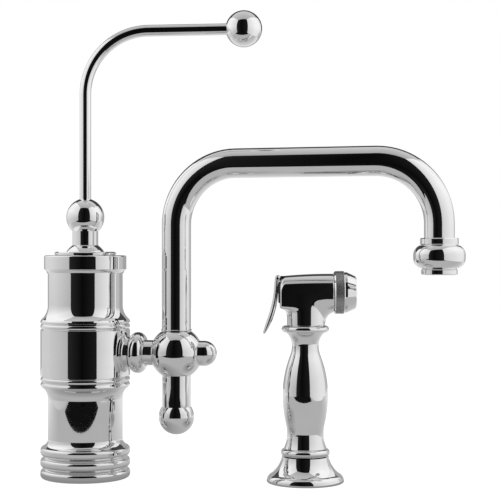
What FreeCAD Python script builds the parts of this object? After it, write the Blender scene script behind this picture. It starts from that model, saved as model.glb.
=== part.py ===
"""Side spray kitchen faucet, built from one sheet of sizes.

A column with a hooked lever, a swivelling spout on a side arm, and a hand spray in its own holder. Every piece is
a body or a cut of its own, named after the real piece. Lengths are millimetres. The origin is the centre of the
column's base on the deck, +Z is up and +X runs along the side arm.
"""
import FreeCAD, Part
import math
import os

import Sketcher
from FreeCAD import Vector

SIZES = [
    # alias, value, what it is
    ("seen_turn", 9.0, "turn of the lever and of the spray away from the arm, degrees"),
    ("spout_turn", -5.5, "rest turn of the spout away from the arm, degrees"),
    ("foot_r", 34.0, "radius of the base ribs and of the column's band"),
    ("spigot_r", 24.0, "column spigot inside the base ring"),
    ("rib_high", 6.8, "height of one base rib"),
    ("rib_pitch", 8.55, "step from rib to rib"),
    ("rib_round", 2.4, "rounding of the ribs"),
    ("base_high", 23.9, "height of the base ring"),
    ("neck_r", 28.4, "radius of the two plain necks of the column"),
    ("band_low", 77.8, "lower edge of the band"),
    ("band_high", 112.4, "upper edge of the band"),
    ("collar_z", 155.4, "shoulder that the top collar rests on"),
    ("column_top", 163.0, "top of the column's thread"),
    ("thread_r", 26.4, "outer radius of the thread under the top collar"),
    ("pocket_r", 20.15, "cartridge pocket"),
    ("pocket_z", 117.0, "floor of the cartridge pocket"),
    ("nut_bore_r", 23.0, "tapped bore over the pocket"),
    ("nut_z", 147.0, "seat of the cartridge nut"),
    ("inlet_x", -6.0, "hot and cold inlets, along the arm"),
    ("inlet_y", 11.0, "hot and cold inlets, across the arm"),
    ("inlet_r", 4.5, "tapped mouth of an inlet"),
    ("inlet_deep", 14.0, "depth of the tapped mouth"),
    ("drill_r", 4.0, "water drilling"),
    ("spray_port_x", 13.0, "outlet to the spray hose, along the arm"),
    ("spray_port_r", 5.7, "tapped mouth of the spray outlet"),
    ("stud_y", 18.6, "fixing studs, across the arm"),
    ("stud_r", 3.4, "tapped hole for a fixing stud"),
    ("stud_deep", 20.0, "depth of a stud hole"),
    ("mixed_x", 9.0, "mixed water port of the cartridge"),
    ("arm_z", 95.3, "axis of the side arm"),
    ("chamber_r", 9.0, "diverter chamber"),
    ("arm_r", 9.6, "side arm tube"),
    ("hub_x", 71.0, "distance from the column to the spout's axis"),
    ("hub_r", 20.0, "ball that the spout turns on"),
    ("hub_bore_r", 9.05, "bearing bore of the ball"),
    ("finial_r", 9.5, "end plug of the ball"),
    ("stem_r", 11.0, "lower stem"),
    ("lower_ball_z", 47.3, "centre of the lower ball"),
    ("lower_ball_r", 13.4, "radius of the lower ball"),
    ("shank_r", 7.0, "shank that the spout turns with"),
    ("tube_r", 11.0, "spout tube"),
    ("tube_bore_r", 9.5, "bore of the spout tube"),
    ("tube_foot_z", 112.3, "foot of the spout tube"),
    ("spout_bend_z", 192.0, "start and end height of the spout's bends"),
    ("spout_bend", 46.0, "bend radius of the spout"),
    ("spout_reach", 198.0, "from the spout's axis to the outlet's axis"),
    ("outlet_z", 171.0, "end of the tube inside the bell"),
    ("pivot_z", 162.7, "tilt axis of the lever"),
    ("dome_r", 17.06, "ball shaped part of the lever's dome"),
    ("dome_bore_r", 14.7, "inner radius of the dome"),
    ("lever_ball_z", 198.1, "centre of the lever's ball"),
    ("lever_ball_r", 14.4, "radius of the lever's ball"),
    ("rod_r", 4.35, "lever rod"),
    ("rod_bend", 49.0, "bend radius of the rod"),
    ("rod_bend_z", 291.6, "start of the rod's bend"),
    ("rod_rise", 1.1, "rise of the rod towards the knob, degrees"),
    ("knob_x", 121.0, "from the column's axis to the knob's centre"),
    ("knob_z", 342.0, "height of the knob's centre"),
    ("knob_r", 14.0, "radius of the knob"),
    ("spray_x", 168.4, "spray axis, along the arm"),
    ("spray_y", 4.4, "spray axis, across the arm"),
    ("holder_r", 28.8, "foot radius of the holder"),
    ("holder_top", 19.1, "top of the holder"),
    ("sleeve_bore_r", 9.2, "bore of the holder's sleeve"),
    ("holder_bore", 13.2, "tapped bore under the holder"),
    ("barrel_z", 141.4, "axis of the spray's barrel"),
    ("barrel_rear", -18.9, "rear face of the barrel"),
    ("barrel_front", 21.1, "front face of the barrel"),
    ("barrel_rear_r", 12.1, "rear radius of the barrel"),
    ("barrel_front_r", 13.95, "front radius of the barrel"),
    ("ring_r", 15.95, "nozzle ring"),
    ("knurls", 120.0, "grooves round the nozzle ring"),
    ("trigger_x", -20.9, "trigger's pin, from the spray's axis"),
    ("trigger_z", 152.0, "trigger's pin, height"),
    ("cap_r", 8.1, "radius of the valve's cap"),
    ("pin_r", 0.9, "trigger's pin"),
    ("trigger_wide", 11.0, "width of the trigger"),
    ("plate", 1.5, "thickness of the trigger"),
]

os.makedirs("parts", exist_ok=True)
doc = FreeCAD.newDocument("side_spray_faucet")
sheet = doc.addObject("Spreadsheet::Sheet", "dim")
for row, (alias, number, note) in enumerate(SIZES, 1):
    sheet.set(f"A{row}", note)
    sheet.set(f"B{row}", str(number))
    sheet.setAlias(f"B{row}", alias)
doc.recompute()

asker = doc.addObject("Sketcher::SketchObject", "asker")
NODES = []


def value(size):
    """Number behind a plain number or an expression on the sheet."""
    if isinstance(size, str):
        return float(asker.evalExpression(size))
    return float(size)


def dim(alias):
    """Number of one size of the sheet."""
    return float(sheet.get(alias))


def plane(body, role):
    """One of the body's own origin planes."""
    return [item for item in body.Origin.OriginFeatures if item.Role == role][0]


def sketch_on(body, role, up=0.0):
    """New sketch on an origin plane, shifted along the plane's normal."""
    sketch = body.newObject("Sketcher::SketchObject", "sketch")
    sketch.AttachmentSupport = [(plane(body, role), "")]
    sketch.MapMode = "FlatFace"
    if isinstance(up, str):
        sketch.setExpression("AttachmentOffset.Base.z", up)
    elif up:
        sketch.AttachmentOffset = FreeCAD.Placement(Vector(0, 0, up), FreeCAD.Rotation())
    return sketch


def fix(sketch, edge, end, corner):
    """Hold one end of an edge at a corner, with the sheet's expressions where it has them."""
    for axis, size in zip("XY", corner[:2]):
        number = value(size)
        if number == 0.0:
            line = -2 if axis == "X" else -1
            sketch.addConstraint(Sketcher.Constraint("PointOnObject", edge, end, line))
            continue
        index = sketch.addConstraint(Sketcher.Constraint("Distance" + axis, edge, end, number))
        if isinstance(size, str):
            sketch.setExpression(f"Constraints[{index}]", size)


def draw(sketch, corners, closed=True):
    """Outline through the corners (across, up[, radius of the arc to the next corner]).

    The arc's centre is on the left of the way for a positive radius and on the right for a negative one.
    """
    points = [Vector(value(c[0]), value(c[1]), 0) for c in corners]
    count = len(corners) if closed else len(corners) - 1
    ends = []
    for i in range(count):
        start = points[i]
        stop = points[(i + 1) % len(points)]
        bend = value(corners[i][2]) if len(corners[i]) > 2 else 0.0
        if bend == 0.0:
            sketch.addGeometry(Part.LineSegment(start, stop))
            ends.append((1, 2))
            continue
        way = stop - start
        left = Vector(-way.y, way.x, 0).normalize()
        reach = math.sqrt(bend**2 - way.Length**2 / 4)
        centre = (start + stop) * 0.5 + left * math.copysign(reach, bend)
        first, last = (start, stop) if bend > 0 else (stop, start)
        turn = [math.atan2((p - centre).y, (p - centre).x) for p in (first, last)]
        circle = Part.Circle(centre, Vector(0, 0, 1), abs(bend))
        sketch.addGeometry(Part.ArcOfCircle(circle, turn[0], turn[1]))
        ends.append((1, 2) if bend > 0 else (2, 1))
    for i in range(count):
        following = (i + 1) % count
        if closed or i < count - 1:
            sketch.addConstraint(Sketcher.Constraint("Coincident", i, ends[i][1], following, ends[following][0]))
        fix(sketch, i, ends[i][0], corners[i])
        if ends[i] == (2, 1) or isinstance(sketch.Geometry[i], Part.ArcOfCircle):
            sketch.addConstraint(Sketcher.Constraint("Radius", i, abs(value(corners[i][2]))))
    if not closed:
        fix(sketch, count - 1, ends[-1][1], corners[-1])


def circles(sketch, rounds):
    """Circles (x, y, radius) in a sketch."""
    for x, y, radius in rounds:
        edge = sketch.addGeometry(Part.Circle(Vector(value(x), value(y), 0), Vector(0, 0, 1), value(radius)))
        fix(sketch, edge, 3, (x, y))
        index = sketch.addConstraint(Sketcher.Constraint("Radius", edge, value(radius)))
        if isinstance(radius, str):
            sketch.setExpression(f"Constraints[{index}]", radius)


def new_body(name):
    """Empty PartDesign body."""
    return doc.addObject("PartDesign::Body", name + "_shape")


def revolve(name, *outlines):
    """Body turned round its own Z axis from outlines of (radius, height)."""
    body = new_body(name)
    for outline in outlines:
        sketch = sketch_on(body, "XZ_Plane")
        draw(sketch, outline)
        turn = body.newObject("PartDesign::Revolution", "turn")
        turn.Profile = sketch
        turn.ReferenceAxis = (sketch, ["V_Axis"])
        turn.Angle = 360
    return body


def ring(inner, outer, low, high):
    """Outline of a plain ring or disc."""
    return [(inner, low), (outer, low), (outer, high), (inner, high)]


def pad(body, role, corners, low, high):
    """Prism on an origin plane between two heights along the plane's normal."""
    sketch = sketch_on(body, role, low)
    draw(sketch, corners)
    prism = body.newObject("PartDesign::Pad", "pad")
    prism.Profile = sketch
    prism.Length = value(high) - value(low)
    return prism


def box(x_low, x_high, y_low, y_high):
    """Outline of a rectangle."""
    return [(x_low, y_low), (x_high, y_low), (x_high, y_high), (x_low, y_high)]


def rod(radius, start, way, length):
    """Cylinder tool from a start point along a direction."""
    tool = doc.addObject("Part::Cylinder", "tool")
    if isinstance(radius, str):
        tool.setExpression("Radius", radius)
    else:
        tool.Radius = radius
    if isinstance(length, str):
        tool.setExpression("Height", length)
    else:
        tool.Height = length
    turn = FreeCAD.Rotation(Vector(0, 0, 1), Vector(*way))
    tool.Placement = FreeCAD.Placement(Vector(*[value(s) for s in start]), turn)
    for axis, size in zip("xyz", start):
        if isinstance(size, str):
            tool.setExpression(f"Placement.Base.{axis}", size)
    return tool


def block(x, y, z):
    """Box tool between pairs of limits."""
    tool = doc.addObject("Part::Box", "tool")
    for prop, low_high, axis in (("Length", x, "x"), ("Width", y, "y"), ("Height", z, "z")):
        setattr(tool, prop, value(low_high[1]) - value(low_high[0]))
        setattr(tool.Placement.Base, axis, value(low_high[0]))
    tool.Placement = FreeCAD.Placement(Vector(value(x[0]), value(y[0]), value(z[0])), FreeCAD.Rotation())
    return tool


def fused(*pieces):
    """One solid from overlapping pieces."""
    if len(pieces) == 1:
        return pieces[0]
    joined = doc.addObject("Part::MultiFuse", "joined")
    joined.Shapes = list(pieces)
    joined.Refine = True
    return joined


def cut(base, *tools):
    """The base without the tools."""
    result = doc.addObject("Part::Cut", "cut")
    result.Base = base
    result.Tool = fused(*tools)
    return result


def put(item, x=0, y=0, z=0, turn=None, axis=(0, 0, 1)):
    """Place an item, its position and turn read from the sheet."""
    angle = 0.0 if turn is None else value(turn)
    spot = Vector(value(x), value(y), value(z))
    item.Placement = FreeCAD.Placement(spot, FreeCAD.Rotation(Vector(*axis), angle))
    for name, size in zip("xyz", (x, y, z)):
        if isinstance(size, str):
            item.setExpression(f"Placement.Base.{name}", size)
    if isinstance(turn, str):
        item.setExpression("Placement.Rotation.Angle", turn)
    return item


def tipped(item, role):
    """A body turned round Z, laid down so that its Z axis runs along +X."""
    return put(item, *role, turn=90, axis=(0, 1, 0))


def grouped(item, x=0, y=0, z=0, turn=None):
    """An item with a placement of its own, placed once more as a whole."""
    holder = doc.addObject("Part::Compound", "whole")
    holder.Links = [item]
    return put(holder, x, y, z, turn)


def node(label, item):
    """Register a finished piece under its name."""
    item.Label = label
    assert item.Label == label, label
    NODES.append(item)
    return item


# ---- base and column ------------------------------------------------------------------------------------------
def base_outline():
    """Base ring with its three ribs and the recess for the gasket."""
    out = [("dim.spigot_r + 0.05", 1.5), (28.2, 1.5), (28.2, 0)]
    for i in range(3):
        low = f"dim.rib_pitch * {i}"
        high = f"dim.rib_pitch * {i} + dim.rib_high"
        out.append(("dim.foot_r - dim.rib_round", 0 if i == 0 else low, "dim.rib_round"))
        out.append(("dim.foot_r", f"{low} + dim.rib_round"))
        out.append(("dim.foot_r", f"{high} - dim.rib_round", "dim.rib_round"))
        out.append(("dim.foot_r - dim.rib_round", high))
        if i < 2:
            out.append((31.0, f"{high} + (dim.rib_pitch - dim.rib_high) / 2"))
    out.append(("dim.spigot_r + 0.05", "dim.rib_pitch * 2 + dim.rib_high"))
    return out


def column():
    """Main casting with its coves, beads, pocket and drillings."""
    cove = (28.4, 29.8)
    outline = [
        (0, 0), ("dim.spigot_r", 0), ("dim.spigot_r", "dim.base_high"), (32.5, "dim.base_high", -6.3), cove,
        ("dim.neck_r", 60.4, -10.5), (33.2, 69.2), ("dim.foot_r", 70.4), ("dim.foot_r", 71.2), (33.6, 72.2),
        (32.9, 72.9, 2.4), (32.9, 76.9), ("dim.foot_r", "dim.band_low"), ("dim.foot_r", "dim.band_high"),
        (32.9, 113.2, 2.4), (32.9, 117.2), ("dim.foot_r", 118.2), ("dim.foot_r", 119.2), (33.4, 120.3, -13.95),
        ("dim.neck_r", 131), ("dim.neck_r", "dim.collar_z"), ("dim.thread_r", "dim.collar_z"),
        ("dim.thread_r", "dim.column_top"), ("dim.nut_bore_r", "dim.column_top"),
        ("dim.nut_bore_r", "dim.nut_z - 1"), ("dim.pocket_r", "dim.nut_z - 1"), ("dim.pocket_r", "dim.pocket_z"),
        (0, "dim.pocket_z"),
    ]
    body = revolve("column", outline)
    tools = []
    for side in (1, -1):
        y = f"dim.inlet_y * {side}"
        tools.append(rod("dim.inlet_r", ("dim.inlet_x", y, -1), (0, 0, 1), "dim.inlet_deep + 1"))
        tools.append(rod("dim.drill_r", ("dim.inlet_x", y, 5), (0, 0, 1), "dim.pocket_z - 4"))
        tools.append(rod("dim.stud_r", (0, f"dim.stud_y * {side}", -1), (0, 0, 1), "dim.stud_deep + 1"))
    tools.append(rod("dim.spray_port_r", ("dim.spray_port_x", 0, -1), (0, 0, 1), 13))
    tools.append(rod("dim.drill_r", ("dim.spray_port_x", 0, 5), (0, 0, 1), "dim.arm_z - 5"))
    tools.append(rod(6, ("dim.mixed_x", 0, "dim.arm_z"), (0, 0, 1), "dim.pocket_z - dim.arm_z + 1"))
    tools.append(rod("dim.chamber_r", (1, 0, "dim.arm_z"), (1, 0, 0), 24))
    tools.append(rod("dim.arm_r + 0.05", (24, 0, "dim.arm_z"), (1, 0, 0), 14))
    return cut(body, *tools)


def top_parts():
    """Collar, disc and guide round the lever's dome."""
    collar = revolve("collar", [
        (26.5, "dim.collar_z"), (29.1, "dim.collar_z"), (29.1, 156.0, -3.4), (31.2, 158.6), (31.2, 167.8, 1.2),
        (30, 169), (19, 169), (19, 166.8), (20.5, 166.8), (20.5, 163.2), (26.5, 163.2),
    ])
    node("top_collar", collar)
    node("dome_ring", revolve("disc", [
        (17.2, 166.8), (18.9, 166.8), (18.9, 169), (22.5, 169), (23.3, 169.8), (23.3, 171), (22.6, 171.7),
        (14.95, 171.7),
    ]))
    node("dome_guide", revolve("guide", ring(17.4, 20.4, 163.4, 166.75)))


def cartridge():
    """Ceramic cartridge under the dome, with its nut."""
    ports = [("dim.inlet_x", "dim.inlet_y", 4.2, 4.6, 6.2), ("dim.inlet_x", "-dim.inlet_y", 4.2, 4.6, 6.2),
             ("dim.mixed_x", 0, 5.2, 5.6, 7.2)]
    base = revolve("cartridge_base", ring(0, 20, "dim.pocket_z", 122))
    sketch = sketch_on(base, "XY_Plane", 122)
    circles(sketch, [port[:3] for port in ports])
    bores = base.newObject("PartDesign::Pocket", "bores")
    bores.Profile = sketch
    bores.Type = 1
    sketch = sketch_on(base, "XY_Plane", 117.95)
    circles(sketch, [port[:2] + (port[4],) for port in ports])
    seats = base.newObject("PartDesign::Pocket", "seats")
    seats.Profile = sketch
    seats.Length = 3
    node("cartridge_base", base)
    seals = new_body("seals")
    sketch = sketch_on(seals, "XY_Plane", "dim.pocket_z")
    circles(sketch, [port[:2] + (radius,) for port in ports for radius in port[3:]])
    rings = seals.newObject("PartDesign::Pad", "rings")
    rings.Profile = sketch
    rings.Length = 0.95
    node("port_seals", seals)

    fixed = new_body("fixed")
    sketch = sketch_on(fixed, "XY_Plane", 122)
    circles(sketch, [(0, 0, 16), (-4, 8, 3), (-4, -8, 3), (4.5, 0, 3.8)])
    disc = fixed.newObject("PartDesign::Pad", "disc")
    disc.Profile = sketch
    disc.Length = 4
    node("fixed_disc", fixed)

    node("cartridge_case", revolve("case", [
        (16.2, 122), (20, 122), (20, "dim.nut_z"), (17.5, "dim.nut_z"), (17.5, 149.2), (9.8, 149.2), (9.8, 146.9),
        (16.2, 146.9),
    ]))
    nut = revolve("nut", ring(18.2, "dim.nut_bore_r - 0.05", "dim.nut_z", 153))
    for turn in (0, 90):
        sketch = sketch_on(nut, "XY_Plane", 153)
        wide = (-24, 24, -2, 2) if turn == 0 else (-2, 2, -24, 24)
        draw(sketch, box(*wide))
        slot = nut.newObject("PartDesign::Pocket", "slot")
        slot.Profile = sketch
        slot.Length = 2
    node("cartridge_nut", nut)

    mixing = block((-20, -4.2), (-15, 15), (125, 128))
    bowl = rod(11.3, (0, 0, 125), (0, 0, 1), 3)
    crescent = doc.addObject("Part::MultiCommon", "crescent")
    crescent.Shapes = [mixing, bowl]
    channel = block((-8, 7), (-4.2, 4.2), (125, 128))
    moving = cut(revolve("moving", ring(0, 12.5, 126, 130)), crescent, channel)
    shift = ("-3.1 * cos(dim.seen_turn)", "-3.1 * sin(dim.seen_turn)", 0)
    node("moving_disc", put(moving, *shift, turn="dim.seen_turn"))

    carrier = new_body("carrier")
    pad(carrier, "XY_Plane", box(-6, 6, -4.5, 4.5), 138, 146.4)
    round_part = put(revolve("carrier_disc", ring(0, 12, 130, 139)), -3.1, 0, 0)
    slot = block((-2.65, 2.65), (-6, 6), (142, 147))
    node("disc_carrier", put(cut(fused(carrier, round_part), slot), turn="dim.seen_turn"))

    plate = revolve("rotor", ring(0, 15.8, 139.3, 146.6), ring(0, 7.5, 146, 167.4))
    well = block((-13, 13), (-4.8, 4.8), (139, 146.7))
    fork = block((-9, 9), (-2.7, 2.7), (146, 170))
    bore = rod(1.8, (0, -9, "dim.pivot_z"), (0, 1, 0), 18)
    node("cartridge_rotor", put(cut(plate, well, fork, bore), turn="dim.seen_turn"))
    pin = rod(1.75, (0, -7, "dim.pivot_z"), (0, 1, 0), 14)
    node("stem_pin", grouped(pin, turn="dim.seen_turn"))


# ---- lever ----------------------------------------------------------------------------------------------------
def lever():
    """Everything that tilts with the lever."""
    low = "dim.pivot_z - 18"
    ball = doc.addObject("Part::Sphere", "ball")
    ball.Radius = 2.4
    put(ball, 0, 0, low)
    throat = rod(1.7, (0, 0, low), (0, 0, 1), 3.5)
    blade = block((-3.2, 3.2), (-2.5, 2.5), (147.2, 171))
    stem = rod(3.9, (0, 0, 170.5), (0, 0, 1), 21.5)
    hole = rod(1.83, (0, -5, "dim.pivot_z"), (0, 1, 0), 10)
    node("cartridge_stem", put(cut(fused(ball, throat, blade, stem), hole), turn="dim.seen_turn"))

    neck_r = 9.75
    rim_z = 154.7
    ceiling = 173.0
    outer = dim("dome_r")
    inner = dim("dome_bore_r")
    pivot = dim("pivot_z")
    rim_out = math.sqrt(outer**2 - (pivot - rim_z) ** 2)
    rim_in = math.sqrt(inner**2 - (pivot - rim_z) ** 2)
    top_out = pivot + math.sqrt(outer**2 - neck_r**2)
    top_in = math.sqrt(inner**2 - (ceiling - pivot) ** 2)
    ball_foot = dim("lever_ball_z") - math.sqrt(dim("lever_ball_r") ** 2 - neck_r**2)
    dome = revolve("dome", [
        (rim_in, rim_z), (rim_out, rim_z, "dim.dome_r"), (neck_r, top_out), (neck_r, ball_foot), (4.0, ball_foot),
        (4.0, ceiling), (top_in, ceiling, "-dim.dome_bore_r"),
    ])
    grub = rod(2.1, (0, 0, 181), (-1, 0, 0), 12)
    node("lever_dome", put(cut(dome, grub), turn="dim.seen_turn"))
    screw = rod(2.05, (-4, 0, 181), (-1, 0, 0), 5)
    key = rod(1.0, (-7.4, 0, 181), (-1, 0, 0), 3)
    node("lever_screw", put(cut(screw, key), turn="dim.seen_turn"))

    rod_foot = 196.0
    ball_top = dim("lever_ball_z") + math.sqrt(dim("lever_ball_r") ** 2 - 4.4**2)
    node("lever_ball", revolve("lever_ball", [
        (0, 192.3), (3.95, 192.3), (3.95, ball_foot), (neck_r, ball_foot, "dim.lever_ball_r"), (4.4, ball_top),
        (4.4, rod_foot), (0, rod_foot),
    ]))

    arc_x = "dim.rod_bend * (1 - sin(dim.rod_rise))"
    arc_z = "dim.rod_bend_z + dim.rod_bend * cos(dim.rod_rise)"
    end_x = "dim.knob_x - 4"
    end_z = f"{arc_z} + (dim.knob_x - 4 - {arc_x}) * tan(dim.rod_rise)"
    hook = new_body("rod")
    spine = sketch_on(hook, "XZ_Plane")
    draw(spine, [(0, rod_foot), (0, "dim.rod_bend_z", "-dim.rod_bend"), (arc_x, arc_z), (end_x, end_z)], False)
    profile = sketch_on(hook, "XY_Plane", rod_foot)
    circles(profile, [(0, 0, "dim.rod_r")])
    pipe = hook.newObject("PartDesign::AdditivePipe", "pipe")
    pipe.Profile = profile
    pipe.Spine = (spine, [])
    node("lever_rod", put(hook, turn="dim.seen_turn"))

    knob = doc.addObject("Part::Sphere", "knob")
    knob.setExpression("Radius", "dim.knob_r")
    put(knob, "dim.knob_x", 0, "dim.knob_z")
    rise = math.radians(dim("rod_rise"))
    back = rod("dim.rod_r + 0.02", ("dim.knob_x - 4", 0, end_z), (-math.cos(rise), 0, -math.sin(rise)), 20)
    node("lever_knob", put(cut(knob, back), turn="dim.seen_turn"))


# ---- side arm, hub and diverter -------------------------------------------------------------------------------
def diverter():
    """Spring loaded diverter in the column's side chamber."""
    axis = (0, 0, "dim.arm_z")
    seat = revolve("seat", [
        (6.2, 1.5), ("dim.chamber_r - 0.05", 1.5), ("dim.chamber_r - 0.05", 24), (3.8, 24), (3.8, 21.5),
        (6.2, 21.5), (6.2, 13.2), (1.9, 13.2), (1.9, 12), (6.2, 12),
    ])
    sleeve = grouped(tipped(seat, axis))
    window = rod(5, ("dim.mixed_x", 0, "dim.arm_z + 2"), (0, 0, 1), 9)
    outlet = rod(3.6, ("dim.spray_port_x + 3", 0, "dim.arm_z - 2"), (0, 0, -1), 9)
    node("diverter_seat", cut(sleeve, window, outlet))
    piston = revolve("piston", [(0, 2), (6.1, 2), (6.1, 3.5), (1.6, 3.5), (1.6, 17), (5, 17), (5, 18.5), (0, 18.5)])
    node("diverter_piston", tipped(piston, axis))
    node("diverter_spring", spring("diverter_coil", 4.6, 0.45, 4.15, 11.4, 4, axis, (0, 1, 0)))


def spring(name, mean_r, wire_r, low, high, turns, spot, axis):
    """Coil spring along +Z, laid down along +X when an axis to turn round is given."""
    helix = doc.addObject("Part::Helix", name + "_line")
    helix.Radius = mean_r
    helix.Pitch = (high - low) / turns
    helix.Height = high - low
    helix.Placement = FreeCAD.Placement(Vector(0, 0, low), FreeCAD.Rotation())
    wire = doc.addObject("Part::Circle", name + "_wire")
    wire.Radius = wire_r
    turn = FreeCAD.Rotation(Vector(1, 0, 0), 90)
    wire.Placement = FreeCAD.Placement(Vector(mean_r, 0, low), turn)
    coil = doc.addObject("Part::Sweep", name)
    coil.Sections = [wire]
    coil.Spine = (helix, ["Edge1"])
    coil.Solid = True
    coil.Frenet = True
    return put(grouped(coil), *spot, turn=90 if axis else None, axis=axis or (0, 0, 1))


def arm():
    """Arm tube, its flange and bead, the hub ball with its bushes, and the parts under it."""
    axis = (0, 0, "dim.arm_z")
    bore = "dim.arm_r + 0.05"
    flange = grouped(tipped(revolve("flange", ring(bore, 12, 30, 35.2)), axis))
    wall = rod("dim.foot_r + 0.02", (0, 0, 70), (0, 0, 1), 50)
    node("arm_flange", cut(flange, wall))
    tube = revolve("arm_tube", ring(7, "dim.arm_r", 24.2, 61.7))
    node("arm_tube", tipped(tube, axis))
    bead = revolve("bead", [(bore, 35.4), (11.5, 35.4, 6.295), (15.6, 41.3, 6.03), (10.2, 47.3), (bore, 47.3)])
    node("arm_ring", tipped(bead, axis))

    flat = 16.7
    rim = "sqrt(dim.hub_r^2 - 16.7^2)"
    ball = revolve("hub", [
        ("dim.hub_bore_r", -11.2), (10.4, -11.2), (10.4, -flat), (rim, -flat, "dim.hub_r"),
        ("dim.hub_r", 0, "dim.hub_r"),
        (rim, flat), ("dim.hub_bore_r", flat),
    ])
    put(ball, "dim.hub_x", 0, "dim.arm_z")
    side = "dim.hub_x + sqrt(dim.hub_r^2 - dim.finial_r^2)"
    tools = [
        rod("dim.arm_r + 0.05", (45, 0, "dim.arm_z"), (1, 0, 0), 17),
        rod(7, (60, 0, "dim.arm_z"), (1, 0, 0), 8),
        rod(6.05, ("dim.hub_x + 6", 0, "dim.arm_z"), (1, 0, 0), 16),
        rod(11, (side, 0, "dim.arm_z"), (1, 0, 0), 5),
    ]
    node("hub_ball", cut(ball, *tools))
    plug_z = value(side)
    cap_z = dim("hub_x") + 21.4
    plug = revolve("plug", [
        (0, plug_z - 8), (6, plug_z - 8), (6, plug_z), ("dim.finial_r", plug_z),
        ("dim.finial_r", cap_z, "dim.finial_r"),
        (0, cap_z + dim("finial_r")),
    ])
    node("hub_finial", tipped(plug, axis))

    hub = ("dim.hub_x", 0, 0)
    bush = ring("dim.shank_r + 0.05", "dim.hub_bore_r - 0.03", 103.5, 111.9)
    node("upper_bush", put(revolve("bush_up", bush), *hub))
    bush = ring("dim.shank_r + 0.05", "dim.hub_bore_r - 0.03", 70.6, 77.5)
    node("lower_bush", put(revolve("bush_low", bush), *hub))
    top = "dim.arm_z - 16.7"
    ball_top = "dim.lower_ball_z + sqrt(dim.lower_ball_r^2 - dim.stem_r^2)"
    node("lower_stem", put(revolve("stem", [
        ("dim.hub_bore_r", ball_top), ("dim.stem_r", ball_top), ("dim.stem_r", top), (10.35, top), (10.35, 84),
        ("dim.hub_bore_r", 84),
    ]), *hub))
    node("lower_ball", put(revolve("lower_ball", [
        (0, "dim.lower_ball_z - dim.lower_ball_r", "dim.lower_ball_r"),
        ("dim.lower_ball_r", "dim.lower_ball_z", "dim.lower_ball_r"),
        ("dim.stem_r", ball_top), ("dim.hub_bore_r - 0.05", ball_top), ("dim.hub_bore_r - 0.05", 61), (0, 61),
    ]), *hub))


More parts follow.
